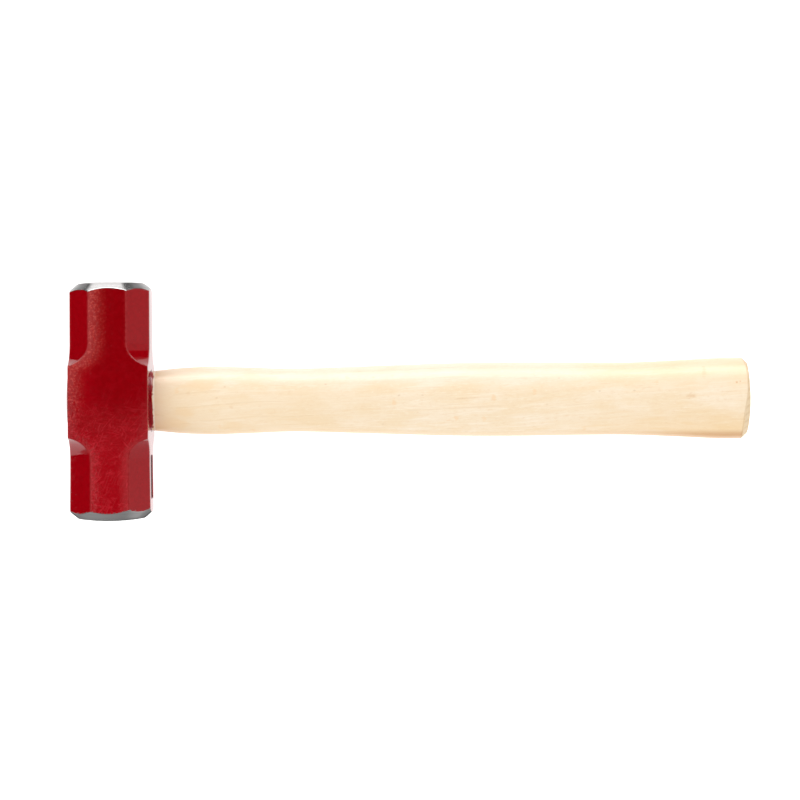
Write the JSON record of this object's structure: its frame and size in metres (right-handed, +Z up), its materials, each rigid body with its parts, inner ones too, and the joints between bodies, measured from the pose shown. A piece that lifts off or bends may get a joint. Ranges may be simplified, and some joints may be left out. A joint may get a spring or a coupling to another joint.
{
  "type": "sledgehammer",
  "caption": "Short-handled sledgehammer: a square steel head with octagonal, crowned ends, wedged on an oval wooden handle.",
  "frame": {"origin": "centre of the cheek of the head that the hammer lies on, below the crossing of the head's axis and the handle's axis", "axes": "+X along the handle from the head to the palm end, +Y along the head's striking axis, +Z up, square to the cheeks"},
  "size_m": [0.3956, 0.1396, 0.0465],
  "materials": {
    "head_enamel": "gloss deep red enamel on forged steel, with bare ground bevels and striking faces at both ends",
    "handle_wood": "satin clear lacquer on pale straight-grained ash",
    "wedge_wood": "matte hardwood end grain, sawn flush",
    "wedge_steel": "satin mild steel, hammer marked"
  },
  "bodies": {
    "root": {"hammer_head": "head_enamel", "handle": "handle_wood", "wood_wedge": "wedge_wood", "steel_wedge_1": "wedge_steel", "steel_wedge_2": "wedge_steel"}
  },
  "joints": []
}
